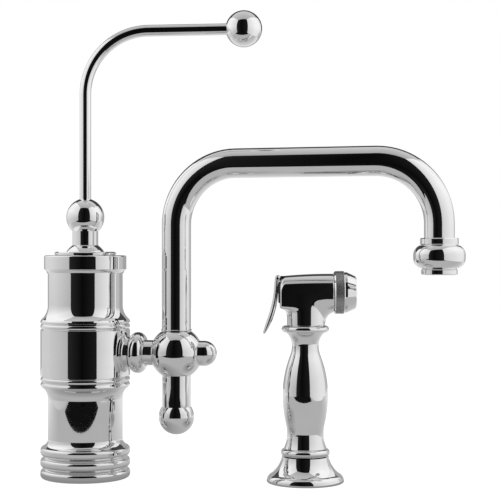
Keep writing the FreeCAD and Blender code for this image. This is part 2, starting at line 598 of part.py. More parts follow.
# ---- spout ----------------------------------------------------------------------------------------------------
def spout():
    """Everything that swivels with the spout."""
    hub = ("dim.hub_x", 0, 0)
    turned = "dim.spout_turn"
    tube = new_body("tube")
    spine = sketch_on(tube, "XZ_Plane")
    over = "dim.spout_bend_z + dim.spout_bend"
    draw(spine, [
        (0, "dim.tube_foot_z"), (0, "dim.spout_bend_z", "-dim.spout_bend"), ("dim.spout_bend", over),
        ("dim.spout_reach - dim.spout_bend", over, "-dim.spout_bend"), ("dim.spout_reach", "dim.spout_bend_z"),
        ("dim.spout_reach", "dim.outlet_z"),
    ], False)
    profile = sketch_on(tube, "XY_Plane", "dim.tube_foot_z")
    circles(profile, [(0, 0, "dim.tube_r"), (0, 0, "dim.tube_bore_r")])
    pipe = tube.newObject("PartDesign::AdditivePipe", "pipe")
    pipe.Profile = profile
    pipe.Spine = (spine, [])
    lip = revolve("lip", [
        (10.4, "dim.tube_foot_z"), (11.5, "dim.tube_foot_z"), (11.8, 112.6), (11.8, 112.9), (11.5, 113.2),
        (10.4, 113.2),
    ])
    node("spout_tube", put(fused(tube, lip), *hub, turn=turned))

    groove = 6.55
    shank = revolve("shank", [
        (4.5, 64), ("dim.shank_r", 64), ("dim.shank_r", 69), (6.05, 69), (6.05, 70.3), ("dim.shank_r", 70.3),
        ("dim.shank_r", 80.5), (groove, 80.5), (groove, 83), ("dim.shank_r", 83), ("dim.shank_r", 99.5),
        (groove, 99.5), (groove, 102), ("dim.shank_r", 102), ("dim.shank_r", 112.3), ("dim.tube_bore_r - 0.05", 112.3),
        ("dim.tube_bore_r - 0.05", 124), (6.5, 124), (6.5, 114), (4.5, 110),
    ])
    windows = [rod(3, (0, 0, "dim.arm_z"), way, 10) for way in ((1, 0, 0), (-1, 0, 0), (0, 1, 0), (0, -1, 0))]
    node("spout_shank", put(cut(shank, *windows), *hub, turn=turned))
    rings = [revolve("seal", [
        (6.6, low), (8.5, low), (9.0, low + 0.5), (9.0, low + 1.8), (8.5, low + 2.3), (6.6, low + 2.3),
    ]) for low in (80.6, 99.6)]
    both = doc.addObject("Part::Compound", "both")
    both.Links = rings
    node("shank_rings", put(both, *hub, turn=turned))
    clip = cut(revolve("clip", ring(6.1, 8.6, 69.05, 70.2)), block((0, 12), (-1.5, 1.5), (68, 72)))
    node("shank_clip", put(clip, *hub, turn=turned))

    def outlet(label, item):
        """Piece of the outlet, round the tube's end."""
        whole = put(item, "dim.spout_reach", 0, 0)
        node(label, grouped(whole, *hub, turn=turned))

    outlet("outlet_collar", revolve("outlet_collar", [
        ("dim.tube_r + 0.03", 176.4), (12.9, 176.4), (12.9, 176.9), (13.4, 176.9), (13.8, 177.4), (13.8, 181.1),
        (13.3, 181.7),
        ("dim.tube_r + 0.03", 181.7),
    ]))
    outlet("outlet_bell", revolve("bell", [
        (11.95, 159.4), (12.3, 159.4), (12.3, 159.92, 7.8), (18.75, 167.6), (18.75, 169.4, 7.8), (14.39, 176.4),
        ("dim.tube_r + 0.03", 176.4), ("dim.tube_r + 0.03", 170.8), (9.5, 170.8), (9.5, 168.5), (11.95, 168.5),
    ]))
    thread = [
        (9.6, 155.3), (12.6, 155.3), (13.05, 155.8), (13.05, 158.8), (12.6, 159.3), (11.9, 159.3), (11.9, 168),
        (10.4, 168), (10.4, 156), (9.6, 156),
    ]
    outlet("aerator_ring", revolve("aerator", thread))
    core = revolve("core", [(0, 157), (10.35, 157), (10.35, 159), (9.4, 160), (9.4, 166.6), (10.35, 166.6), (10.35, 168),
                            (0, 168)])
    sketch = sketch_on(core, "XY_Plane", 168)
    circles(sketch, [(6, 0, 1.2), (2.5, 0, 0.8)])
    jets = core.newObject("PartDesign::Pocket", "jets")
    jets.Profile = sketch
    jets.Type = 1
    pattern = core.newObject("PartDesign::PolarPattern", "jet_rows")
    pattern.Originals = [jets]
    pattern.Axis = (sketch, ["N_Axis"])
    pattern.Angle = 360
    pattern.Occurrences = 8
    core.Tip = pattern
    outlet("aerator_core", core)
    screen = new_body("screen")
    sketch = sketch_on(screen, "XY_Plane", 156.1)
    circles(sketch, [(0, 0, 10.2)])
    sheet_pad = screen.newObject("PartDesign::Pad", "sheet")
    sheet_pad.Profile = sketch
    sheet_pad.Length = 0.8
    sketch = sketch_on(screen, "XY_Plane", 156.9)
    circles(sketch, [(7.4, 0, 1.1), (4.2, 0, 0.8)])
    meshes = screen.newObject("PartDesign::Pocket", "meshes")
    meshes.Profile = sketch
    meshes.Type = 1
    pattern = screen.newObject("PartDesign::PolarPattern", "mesh_rows")
    pattern.Originals = [meshes]
    pattern.Axis = (sketch, ["N_Axis"])
    pattern.Angle = 360
    pattern.Occurrences = 12
    screen.Tip = pattern
    outlet("aerator_screen", screen)


# ---- holder and hand spray ------------------------------------------------------------------------------------
SPRAY = ("dim.spray_x", "dim.spray_y", 0)


def on_spray(label, item):
    """Piece on the spray's axis, with its front along the seen direction."""
    return node(label, put(item, *SPRAY, turn="dim.seen_turn"))


def holder():
    """Bell on the deck that the spray stands in."""
    bell = revolve("holder", [
        ("dim.holder_bore", 0), (20.8, 0), (20.8, 1.5), (26.5, 1.5), (26.5, 0), ("dim.holder_r - 0.6", 0),
        ("dim.holder_r", 0.6), ("dim.holder_r", 1.0, 5.62), (25.3, 6.2, -22), (17.5, "dim.holder_top"),
        (12, "dim.holder_top"), (12, 9), ("dim.holder_bore", 9),
    ])
    on_spray("spray_holder", bell)
    on_spray("holder_gasket", revolve("holder_gasket", ring(21.1, 26.2, 0, 1.5)))
    on_spray("holder_sleeve", revolve("sleeve", ring("dim.sleeve_bore_r", 11.95, 9.1, "dim.holder_top - 0.1")))
    on_spray("hose_fitting", revolve("fitting", [
        (5.7, 9.5), (8.7, 9.5), (8.7, 17.6), (5.5, 17.6), (5.5, 27), (3.5, 27), (3.5, 16.5), (5.7, 16.5),
    ]))


def spray_grip():
    """Grip with its tail, the ring that stands on the holder and the collar under the head."""
    grip = revolve("grip", [
        (5.55, 17.9), (8.7, 17.9), (8.7, 19.5), (14.6, 19.5), (14.6, 25.1), (15.97, 25.1), (15.97, 25.4, -27.5),
        (13.67, 36.4, -29.1), (14.42, 42.95, 98), (16.93, 65.0, 79), (12.4, 91.4), (11.02, 95.3, -19),
        (9.93, 101.64, -13.1), (14.545, 111.62), (7, 111.62), (7, 30), (5.55, 28.5),
    ])
    on_spray("spray_grip", grip)
    on_spray("grip_ring", revolve("grip_ring", [
        (14.65, 19.4), (16.0, 19.4, 2.87), (16.0, 25.0), (14.65, 25.0),
    ]))
    on_spray("grip_collar", revolve("grip_collar", [
        (7, 111.7), (15.3, 111.7, 2.51), (15.5, 116.7), (7, 116.7),
    ]))


def spray_head():
    """Head with its barrel, the nozzle, and the valve and trigger at the back."""
    axis_z = dim("barrel_z")
    rear = dim("barrel_rear")
    front = dim("barrel_front")
    barrel = revolve("barrel", [
        (0, rear), (dim("barrel_rear_r") - 0.8, rear, 0.8), (dim("barrel_rear_r"), rear + 0.8, 340),
        (dim("barrel_front_r"), front - 0.5), (dim("barrel_front_r") - 0.5, front), (0, front),
    ])
    barrel = tipped(barrel, (0, 0, axis_z))
    neck = revolve("neck", [
        (0, 116.75), (14.4, 116.75), (14.4, 119.5, -30), (16.2, 128.5), (14.5, 135), (8, 139), (0, 139),
    ])
    limits = block((rear, 30), (-13.2, 13.2), (110, 160))
    trimmed = doc.addObject("Part::MultiCommon", "trimmed")
    trimmed.Shapes = [neck, limits]
    side = dim("barrel_rear_r")
    floor = axis_z - side
    bend = 2.6
    skirt = new_body("skirt")
    pad(skirt, "YZ_Plane", [
        (side, axis_z), (-side, axis_z), (-side, floor + bend, bend), (-side + bend, floor),
        (side - bend, floor, bend), (side, floor + bend),
    ], rear + 0.6, 2)
    lug = [
        block(("dim.trigger_x", rear + 4), (-3.6, 3.6), ("dim.trigger_z - 1.7", "dim.trigger_z + 1.7")),
        rod(1.7, ("dim.trigger_x", -3.6, "dim.trigger_z"), (0, 1, 0), 7.2),
    ]
    solid = fused(grouped(barrel), trimmed, skirt, *lug)
    inside = [
        rod(11.2, (front - 9.5, 0, axis_z), (1, 0, 0), 12),
        rod(4.05, (rear + 8, 0, axis_z), (1, 0, 0), 9 - rear - 8),
        rod(2.4, (8, 0, axis_z), (1, 0, 0), 8),
        rod(1.7, (rear + 5, 0, axis_z), (1, 0, 0), 4),
        rod("dim.cap_r + 0.3", (rear - 0.5, 0, axis_z), (1, 0, 0), 7.5),
        rod(7, (0, 0, 115), (0, 0, 1), 14),
        rod(2.2, (-5, 0, 128), (0, 0, 1), axis_z - 128),
        rod("dim.pin_r + 0.03", ("dim.trigger_x", -9, "dim.trigger_z"), (0, 1, 0), 18),
    ]
    on_spray("spray_head", cut(solid, *inside))

    def along(label, item):
        """Piece on the barrel's axis."""
        on_spray(label, grouped(tipped(item, (0, 0, axis_z))))

    knurl = revolve("nozzle_ring", [
        (11.1, 12.0), (11.1, 21.2), ("dim.ring_r - 0.9", 21.2), ("dim.ring_r", 22.2), ("dim.ring_r", 28.5),
        ("dim.ring_r - 0.6", 29.1), (9.5, 29.1), (9.5, 12.0),
    ])
    sketch = sketch_on(knurl, "XY_Plane", 28.3)
    top = "dim.ring_r + 0.3"
    draw(sketch, [(-0.45, top), (0, "dim.ring_r - 0.55"), (0.45, top)])
    groove = knurl.newObject("PartDesign::Pocket", "groove")
    groove.Profile = sketch
    groove.Length = 5.9
    pattern = knurl.newObject("PartDesign::PolarPattern", "knurling")
    pattern.Originals = [groove]
    pattern.Axis = (sketch, ["N_Axis"])
    pattern.Angle = 360
    pattern.Occurrences = int(dim("knurls"))
    knurl.Tip = pattern
    along("nozzle_ring", knurl)
    along("nozzle_cone", revolve("cone", [
        (9.55, 29.2), (15.1, 29.2), (15.1, 30.9), (12.2, 37.1), (11.4, 37.8), (9.55, 37.8),
    ]))
    plate = revolve("plate", ring(0, 9.45, 33.5, 36.9))
    sketch = sketch_on(plate, "XY_Plane", 36.9)
    circles(sketch, [(7.2, 0, 0.6), (4.2, 0, 0.6)])
    holes = plate.newObject("PartDesign::Pocket", "holes")
    holes.Profile = sketch
    holes.Type = 1
    pattern = plate.newObject("PartDesign::PolarPattern", "hole_rows")
    pattern.Originals = [holes]
    pattern.Axis = (sketch, ["N_Axis"])
    pattern.Angle = 360
    pattern.Occurrences = 12
    plate.Tip = pattern
    along("spray_plate", plate)

    seat = revolve("valve_seat", [
        (1.5, -10.8), (4.0, -10.8), (4.0, -0.6), (2.2, -0.6), (2.2, -2.2), (2.9, -2.2), (2.9, -8.2), (1.5, -8.2),
    ])
    window = rod(2.2, (-5, 0, axis_z - 1), (0, 0, -1), 5)
    on_spray("valve_seat", grouped(cut(grouped(tipped(seat, (0, 0, axis_z))), window)))
    along("valve_stem", revolve("valve_stem", [
        (0, -17), (1.4, -17), (1.4, -0.5), (3.2, -0.5), (3.2, 1.5), (0, 1.5),
    ]))
    on_spray("valve_spring", grouped(spring("valve_coil", 2.4, 0.3, 1.85, 8.65, 5, (0, 0, axis_z), (0, 1, 0))))
    along("valve_cap", revolve("cap", [
        (0, -20.1), (7.5, -20.1), ("dim.cap_r", -19.5), ("dim.cap_r", -17.05), (0, -17.05),
    ]))
    pin = rod("dim.pin_r", ("dim.trigger_x", -5.8, "dim.trigger_z"), (0, 1, 0), 11.6)
    on_spray("trigger_pin", grouped(pin))


def trigger():
    """Bent channel that hangs from its pin, with the bump that presses the valve's cap."""
    outside = [(-22.0, 154.6), (-23.0, 149.5), (-24.0, 138.5), (-25.7, 131.5), (-28.3, 122.5), (-32.0, 110.6)]
    flange = [(-30.2, 110.0), (-25.0, 122.2), (-22.6, 131.2), (-21.0, 136.8), (-20.6, 149.0), (-19.4, 153.6)]
    floor = [(-29.8, 113.2), (-26.8, 122.1), (-24.2, 131.0), (-22.5, 138.2), (-21.5, 149.1)]
    channel = floor + [(-26, 149.1), (-26, 156), (-15, 156), (-15, 113.2)]
    wide = "dim.trigger_wide / 2"
    deep = "dim.trigger_wide / 2 - dim.plate"
    whole = new_body("trigger")
    pad(whole, "XZ_Plane", outside + flange, f"-({wide})", wide)
    hollow = new_body("channel")
    pad(hollow, "XZ_Plane", channel, f"-({deep})", deep)
    bore = rod("dim.pin_r + 0.05", ("dim.trigger_x", -9, "dim.trigger_z"), (0, 1, 0), 18)
    bump = doc.addObject("Part::Sphere", "bump")
    bump.Radius = 2.5
    put(bump, -22.65, 0, "dim.barrel_z")
    on_spray("trigger", fused(cut(whole, hollow, bore), bump))


node("base_ring", revolve("base_ring", base_outline()))
node("base_gasket", revolve("base_gasket", ring(24.5, 28, 0, 1.5)))
node("column_body", column())
top_parts()
cartridge()
lever()
diverter()
arm()
spout()
holder()
spray_grip()
spray_head()
trigger()
doc.recompute()

for item in doc.Objects:
    assert "Invalid" not in item.State and "Error" not in item.State, (item.Name, item.State)
for item in NODES:
    assert not item.Shape.isNull() and item.Shape.isValid() and item.Shape.Solids, item.Label
    item.Shape.exportStep(f"parts/{item.Label}.step")
    print(item.Label, len(item.Shape.Solids), round(item.Shape.Volume, 1))
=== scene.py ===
"""Side spray kitchen faucet: finishes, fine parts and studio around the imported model."""

import math
from collections import namedtuple

import bmesh
import bpy
import numpy as np
from bpy.props import FloatProperty, FloatVectorProperty, PointerProperty
from mathutils import Matrix, Vector


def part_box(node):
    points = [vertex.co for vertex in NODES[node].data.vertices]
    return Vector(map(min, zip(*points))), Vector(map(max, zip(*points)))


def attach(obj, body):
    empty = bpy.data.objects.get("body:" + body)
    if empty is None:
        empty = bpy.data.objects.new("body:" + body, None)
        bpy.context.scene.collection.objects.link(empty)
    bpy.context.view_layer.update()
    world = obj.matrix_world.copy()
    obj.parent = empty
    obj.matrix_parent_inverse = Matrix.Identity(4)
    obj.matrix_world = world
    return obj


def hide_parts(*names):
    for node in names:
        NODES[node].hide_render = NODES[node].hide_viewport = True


bl_info = {
    "name": "Side spray faucet",
    "version": (1, 0, 0),
    "blender": (4, 2, 0),
    "location": "View3D > Sidebar > Faucet",
    "description": "Finishes, fine parts and studio of a side spray kitchen faucet",
    "category": "Object",
}

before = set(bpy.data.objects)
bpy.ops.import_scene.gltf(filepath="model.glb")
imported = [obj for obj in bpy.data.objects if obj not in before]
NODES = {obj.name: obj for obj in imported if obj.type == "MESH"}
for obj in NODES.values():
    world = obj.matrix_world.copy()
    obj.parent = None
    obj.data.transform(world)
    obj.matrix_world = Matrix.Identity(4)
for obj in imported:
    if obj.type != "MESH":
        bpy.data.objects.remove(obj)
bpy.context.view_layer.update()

# Ways of the picture, which is turned from the faucet's own axes: right, towards the camera and up.
SEEN_TURN = math.radians(9.0)
RIGHT = Vector((math.cos(SEEN_TURN), math.sin(SEEN_TURN), 0))
TOWARD = Vector((math.sin(SEEN_TURN), -math.cos(SEEN_TURN), 0))
UP = Vector((0, 0, 1))


def foot_of(name):
    """Middle of a node's box, on the deck."""
    low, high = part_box(name)
    return Vector(((low[0] + high[0]) / 2, (low[1] + high[1]) / 2, 0))


FEET = (foot_of("base_ring"), foot_of("spray_holder"))
KNURLED = (0.0222, 0.0285)  # knurled band of the nozzle ring, in front of the spray's axis
KNURL_EDGE = 0.0001  # how softly the band's finish begins and ends


# ---- settings --------------------------------------------------------------------------------------------
def colour(name, description, default):
    """Colour setting."""
    return FloatVectorProperty(name=name, description=description, subtype="COLOR", size=3, min=0, max=1,
                               default=default)


def length(name, description, default):
    """Length setting in metres."""
    return FloatProperty(name=name, description=description, unit="LENGTH", default=default)


class FaucetFinishes(bpy.types.PropertyGroup):
    """Colours of the faucet's materials."""

    chrome: colour("Chrome", "Polished chrome plating", (0.90, 0.90, 0.905))
    brass: colour("Brass", "Bare machined brass", (0.78, 0.56, 0.29))
    steel: colour("Steel", "Stainless steel", (0.62, 0.62, 0.63))
    white_plastic: colour("White plastic", "Moulded inner parts", (0.80, 0.80, 0.78))
    dark_plastic: colour("Dark plastic", "Spray plate and valve cap", (0.035, 0.035, 0.037))
    ceramic: colour("Ceramic", "Ceramic discs", (0.86, 0.85, 0.82))
    rubber: colour("Rubber", "Seals and gaskets", (0.02, 0.02, 0.02))


class FaucetSprayForm(bpy.types.PropertyGroup):
    """Form of the spray's head, from the spray's axis and the deck."""

    axis_high: length("Barrel height", "Height of the barrel's axis", 0.1414)
    rear: length("Rear face", "Rear face of the barrel", -0.0189)
    front: length("Front face", "Front face of the barrel", 0.0211)
    rear_radius: length("Rear radius", "Radius of the barrel at the rear", 0.0121)
    front_radius: length("Front radius", "Radius of the barrel at the front", 0.01395)
    swell: length("Swell", "Swell of the barrel's sides in the middle", 0.00056)
    neck_radius: length("Neck radius", "Radius of the neck", 0.0142)
    neck_aside: length("Neck place", "Neck's middle in front of the spray's axis", 0.0005)
    foot_high: length("Neck foot", "Height of the neck's foot", 0.11675)
    rear_blend: length("Rear blend", "Reach of the blend behind the neck", 0.0045)
    front_blend: length("Front blend", "Reach of the blend in front of the neck", 0.0105)
    trigger_wide: length("Trigger width", "Width of the trigger", 0.011)
    trigger_edge: length("Trigger edge", "Reach of the rounding of the trigger's sides", 0.0024)
    trigger_plate: length("Trigger plate", "Thickness of the trigger's back", 0.0012)
    trigger_top: length("Trigger top", "Height of the trigger's top", 0.1543)
    trigger_foot: length("Trigger foot", "Height of the trigger's lower end", 0.1104)
    grain: length("Mesh size", "Length of a face of the head's mesh", 0.00045)


class FaucetStudio(bpy.types.PropertyGroup):
    """Camera and studio."""

    eye_high: length("Camera height", "Height of the camera over the deck", 0.1731)
    eye_far: length("Camera distance", "Distance of the camera from the column", 1.033)
    eye_aside: length("Camera offset", "Camera's place to the right of the column", 0.1257)
    lens: FloatProperty(name="Lens", description="Focal length in millimetres", default=97.4, min=10)
    black_near: length("Dark side distance", "Dark side of the studio in front of the faucet", 0.52)
    black_left: length("Dark side left edge", "Left edge, from the column", -0.40)
    black_right: length("Dark side right edge", "Right edge, from the column", 0.365)
    black_high: length("Dark side height", "Height of the dark side and of the studio", 1.05)
    table_edge: length("Table edge", "Where the pale table ends in front of the faucet", 0.305)
    edge_slant: length("Table edge slant", "How far the edge runs off its middle on each side", 0.05)
    wide_left: length("Left wall", "Back end of the left wall, from the column", -0.62)
    wide_right: length("Right wall", "Back end of the right wall, from the column", 0.80)
    back: length("Back wall", "Back wall's place, towards the camera", -0.80)
    grey_start: length("Grey side", "Where the right wall turns grey, towards the camera", -0.35)
    ceiling_end: length("Ceiling end", "Back end of the pale ceiling, towards the camera", -0.60)
    shelf_high: length("Back shelf", "Height of the grey part of the back wall", 0.42)
    lamp_size: length("Lamp size", "Side of each square lamp", 0.8)
    key_power: FloatProperty(name="Key lamp", description="Left lamp's power", unit="POWER", default=9)
    fill_power: FloatProperty(name="Fill lamp", description="Right lamp's power", unit="POWER", default=6)
    soft_light: FloatProperty(name="Soft light", description="Strength of the room's light", default=0.55)
    floor_glow: FloatProperty(name="Floor glow", description="Brightness of the floor as seen", default=0.88)


# ---- materials -------------------------------------------------------------------------------------------
def start_material(name, slot_colour, metallic, roughness):
    """New material with its shader, node tree and object coordinates."""
    material = bpy.data.materials.new(name)
    material.use_nodes = True
    tree = material.node_tree
    shader = tree.nodes["Principled BSDF"]
    shader.inputs["Base Color"].default_value = (*slot_colour, 1)
    shader.inputs["Metallic"].default_value = metallic
    shader.inputs["Roughness"].default_value = roughness
    place = tree.nodes.new("ShaderNodeTexCoord")
    return material, tree, shader, place.outputs["Object"]


def noise(tree, place, scale, detail):
    """Noise of one scale, as its factor socket."""
    texture = tree.nodes.new("ShaderNodeTexNoise")
    texture.inputs["Scale"].default_value = scale
    texture.inputs["Detail"].default_value = detail
    tree.links.new(place, texture.inputs["Vector"])
    return texture.outputs["Fac"]


def spread(tree, factor, low, high, start=0.35, stop=0.65):
    """Number that follows a factor between two limits."""
    node = tree.nodes.new("ShaderNodeMapRange")
    node.inputs["From Min"].default_value = start
    node.inputs["From Max"].default_value = stop
    node.inputs["To Min"].default_value = low
    node.inputs["To Max"].default_value = high
    tree.links.new(factor, node.inputs["Value"])
    return node.outputs["Result"]


def tint(tree, factor, first, second, start=0.35, stop=0.65):
    """Colour that follows a factor between two colours."""
    node = tree.nodes.new("ShaderNodeValToRGB")
    node.color_ramp.elements[0].position = start
    node.color_ramp.elements[1].position = stop
    node.color_ramp.elements[0].color = (*first, 1)
    node.color_ramp.elements[1].color = (*second, 1)
    tree.links.new(factor, node.inputs["Fac"])
    return node.outputs["Color"]


def product(tree, first, second):
    """Product of two number sockets, or the second alone when there is no first."""
    if first is None:
        return second
    node = tree.nodes.new("ShaderNodeMath")
    node.operation = "MULTIPLY"
    tree.links.new(first, node.inputs[0])
    tree.links.new(second, node.inputs[1])
    return node.outputs[0]


def raised(tree, shader, height, strength, distance):
    """Bump from a height."""
    node = tree.nodes.new("ShaderNodeBump")
    node.inputs["Strength"].default_value = strength
    node.inputs["Distance"].default_value = distance
    tree.links.new(height, node.inputs["Height"])
    tree.links.new(node.outputs["Normal"], shader.inputs["Normal"])


def darker(shade, share):
    """The same colour with less light."""
    return tuple(part * share for part in shade)


def polished_chrome(finishes):
    """Chrome plating: mirror bright, with faint polishing haze."""
    shade = tuple(finishes.chrome)
    material, tree, shader, place = start_material("polished_chrome", shade, metallic=1, roughness=0.03)
    haze = noise(tree, place, scale=60, detail=4)
    fine = noise(tree, place, scale=1400, detail=2)
    tree.links.new(tint(tree, haze, darker(shade, 0.975), shade), shader.inputs["Base Color"])
    tree.links.new(spread(tree, fine, low=0.015, high=0.05), shader.inputs["Roughness"])
    return material


def knurled_chrome(finishes):
    """Chrome with a band of fine grooves, which scatters the room between two polished edges; the band's
    colour is also darkened as painted shade in the grooves.
    """
    shade = tuple(finishes.chrome)
    material, tree, shader, place = start_material("knurled_chrome", shade, metallic=1, roughness=0.42)
    along = tree.nodes.new("ShaderNodeVectorMath")
    along.operation = "DOT_PRODUCT"
    along.inputs[1].default_value = RIGHT
    tree.links.new(place, along.inputs[0])
    start, stop = (FEET[1].dot(RIGHT) + part for part in KNURLED)
    band = product(tree, spread(tree, along.outputs["Value"], 0, 1, start - KNURL_EDGE, start),
                   spread(tree, along.outputs["Value"], 1, 0, stop, stop + KNURL_EDGE))
    grooves = noise(tree, place, scale=900, detail=2)
    scatter_and_groove_shade = product(tree, band, spread(tree, grooves, low=0.8, high=1))
    # Darker colour across the band is painted shade in the fine grooves; the rougher finish below is the
    # real scatter.
    tone = tint(tree, scatter_and_groove_shade, shade, darker(shade, 0.66), start=0, stop=1)
    tree.links.new(tone, shader.inputs["Base Color"])
    tree.links.new(spread(tree, scatter_and_groove_shade, low=0.04, high=0.44, start=0, stop=1), shader.inputs["Roughness"])
    return material


def machined_brass(finishes):
    """Bare brass inside the column and under the deck face."""
    shade = tuple(finishes.brass)
    material, tree, shader, place = start_material("machined_brass", shade, metallic=1, roughness=0.3)
    stain = noise(tree, place, scale=90, detail=5)
    tool = noise(tree, place, scale=1200, detail=2)
    tree.links.new(tint(tree, stain, darker(shade, 0.8), shade), shader.inputs["Base Color"])
    tree.links.new(spread(tree, tool, low=0.22, high=0.4), shader.inputs["Roughness"])
    raised(tree, shader, tool, strength=0.15, distance=0.0002)
    return material


def stainless_steel(finishes):
    """Stainless screws, pins, springs and the trigger's return parts."""
    shade = tuple(finishes.steel)
    material, tree, shader, place = start_material("stainless_steel", shade, metallic=1, roughness=0.22)
    grain = noise(tree, place, scale=1800, detail=2)
    tone = noise(tree, place, scale=120, detail=3)
    tree.links.new(tint(tree, tone, darker(shade, 0.9), shade), shader.inputs["Base Color"])
    tree.links.new(spread(tree, grain, low=0.16, high=0.32), shader.inputs["Roughness"])
    return material


def moulded(name, shade, rough, grain_scale=1500, tone_share=0.92):
    """Moulded plastic, ceramic or rubber with a fine grain."""
    material, tree, shader, place = start_material(name, shade, metallic=0, roughness=rough)
    grain = noise(tree, place, scale=grain_scale, detail=2)
    tone = noise(tree, place, scale=70, detail=3)
    tree.links.new(tint(tree, tone, darker(shade, tone_share), shade), shader.inputs["Base Color"])
    tree.links.new(spread(tree, grain, low=rough * 0.8, high=rough * 1.25), shader.inputs["Roughness"])
    raised(tree, shader, grain, strength=0.12, distance=0.0001)
    return material


def all_materials(finishes):
    """Every material, by the record's slot."""
    return {
        "chrome": polished_chrome(finishes),
        "knurled": knurled_chrome(finishes),
        "brass": machined_brass(finishes),
        "steel": stainless_steel(finishes),
        "white_plastic": moulded("white_plastic", tuple(finishes.white_plastic), rough=0.38),
        "dark_plastic": moulded("dark_plastic", tuple(finishes.dark_plastic), rough=0.42),
        "ceramic": moulded("ceramic", tuple(finishes.ceramic), rough=0.12, grain_scale=900, tone_share=0.97),
        "rubber": moulded("rubber", tuple(finishes.rubber), rough=0.6),
    }


MATERIALS = {}


def finish_of(context, slot):
    """Material of a slot, made when it is first asked for."""
    if not MATERIALS:
        MATERIALS.update(all_materials(context.scene.faucet_finishes))
    return MATERIALS[slot]


def dress(context, names, slot):
    """Gives CAD nodes a finish."""
    for name in names:
        node = NODES[name]
        node.data.materials.clear()
        node.data.materials.append(finish_of(context, slot))


class DressColumn(bpy.types.Operator):
    """Finish the base, the column and its cartridge"""

    bl_idname = "faucet.column"
    bl_label = "Column"

    def execute(self, context):
        dress(context, ["base_ring", "column_body", "top_collar", "dome_ring"], "chrome")
        dress(context, ["base_gasket", "port_seals"], "rubber")
        dress(context, ["cartridge_nut"], "brass")
        dress(context, ["dome_guide", "disc_carrier"], "white_plastic")
        dress(context, ["cartridge_base", "cartridge_case", "cartridge_rotor"], "white_plastic")
        dress(context, ["fixed_disc", "moving_disc"], "ceramic")
        dress(context, ["stem_pin"], "steel")
        return {"FINISHED"}


class DressLever(bpy.types.Operator):
    """Finish the lever with its dome, rod and knob"""

    bl_idname = "faucet.lever"
    bl_label = "Lever"

    def execute(self, context):
        dress(context, ["lever_dome", "lever_ball", "lever_rod", "lever_knob"], "chrome")
        dress(context, ["cartridge_stem"], "brass")
        dress(context, ["lever_screw"], "steel")
        return {"FINISHED"}


class DressArm(bpy.types.Operator):
    """Finish the side arm, the hub and the diverter"""

    bl_idname = "faucet.arm"
    bl_label = "Side arm"

    def execute(self, context):
        dress(context, ["arm_flange", "arm_tube", "arm_ring"], "chrome")
        dress(context, ["hub_ball", "hub_finial", "lower_stem", "lower_ball"], "chrome")
        dress(context, ["diverter_seat", "diverter_piston", "upper_bush", "lower_bush"], "white_plastic")
        dress(context, ["diverter_spring"], "steel")
        return {"FINISHED"}


class DressSpout(bpy.types.Operator):
    """Finish the swivelling spout and its outlet"""

    bl_idname = "faucet.spout"
    bl_label = "Spout"

    def execute(self, context):
        dress(context, ["spout_tube", "outlet_collar", "outlet_bell", "aerator_ring"], "chrome")
        dress(context, ["spout_shank"], "brass")
        dress(context, ["shank_rings"], "rubber")
        dress(context, ["shank_clip", "aerator_screen"], "steel")
        dress(context, ["aerator_core"], "white_plastic")
        return {"FINISHED"}


class DressSpray(bpy.types.Operator):
    """Finish the hand spray and its holder"""

    bl_idname = "faucet.spray"
    bl_label = "Hand spray"

    def execute(self, context):
        dress(context, ["spray_holder", "spray_grip", "grip_ring", "grip_collar"], "chrome")
        dress(context, ["spray_head", "nozzle_cone", "trigger"], "chrome")
        dress(context, ["nozzle_ring"], "knurled")
        dress(context, ["holder_gasket"], "rubber")
        dress(context, ["holder_sleeve"], "white_plastic")
        dress(context, ["hose_fitting", "valve_seat"], "brass")
        dress(context, ["trigger_pin", "valve_stem", "valve_spring"], "steel")
        dress(context, ["spray_plate", "valve_cap"], "dark_plastic")
        return {"FINISHED"}


# ---- blended forms of the spray --------------------------------------------------------------------------
MM = 1000.0
SPRAY_PLACE = Matrix.Translation(FEET[1]) @ Matrix.Rotation(SEEN_TURN, 4, "Z")

# Fine sizes of the head and the trigger, in millimetres. Heights are over the deck, and places along the
# barrel are from the spray's axis.
# Powers of the barrel's oval sections: its top, and its lower half at the rear and in front.
TOP_POWER, SKIRT_POWER, FRONT_POWER = 2, 10, 2.5
SKIRT_PART = (0.2, 0.7)  # shares of the barrel's length between which its lower half turns round
REAR_EDGE, REAR_TOP_EDGE = 1.5, 4.5  # rounding of the rear edge, low and at the top
REAR_HEIGHTS = (1, 9)  # heights over the barrel's axis between which that rounding grows
CUT_EDGE = 0.6  # rounding of the front edge and of the neck's foot
NECK_POWER, NECK_TOP_EDGE = 2.2, 2
NECK_THINNING, NECK_HEIGHTS = 0.7, (118, 134)  # how much thinner the neck gets, and between which heights
SIDE_BLEND = 1  # reach of the blend of barrel and neck at the neck's sides
BLEND_FOCUS, BLEND_TURN = 1.4, 6  # how fast the blend widens from there, and where its front reach begins
ROUGH_BARREL, ROUGH_NECK, ROUGH_SKIRT = 12.9, 14, 12.3  # half widths of the rough solid

# The trigger's pin with its lug, then the head's bores: radius, and where each one starts and stops.
PIN_PLACE, PIN_HIGH, PIN_HALF, PIN_BORE = -20.9, 152.0, 9, 0.93
LUG_ROOT, LUG_ROUND, LUG_WIDE, LUG_STEPS = -14.9, 1.7, 3.6, 13
PAST = 2  # how far a bore starts outside its face
NOZZLE_BORE, NOZZLE_DEEP = 11.2, 9.5
CHAMBER_BORE, CHAMBER_START, CHAMBER_STOP = 4.05, 8, 9
JET_BORE, JET_START, JET_STOP = 2.4, 8, 16
STEM_BORE, STEM_START, STEM_STOP = 1.7, 5, 9
CAP_BORE, CAP_DEEP = 8.4, 7
SOCKET_BORE, SOCKET_TOP = 7.0, 129
RISER_BORE, RISER_PLACE, RISER_FOOT = 2.2, -5, 128

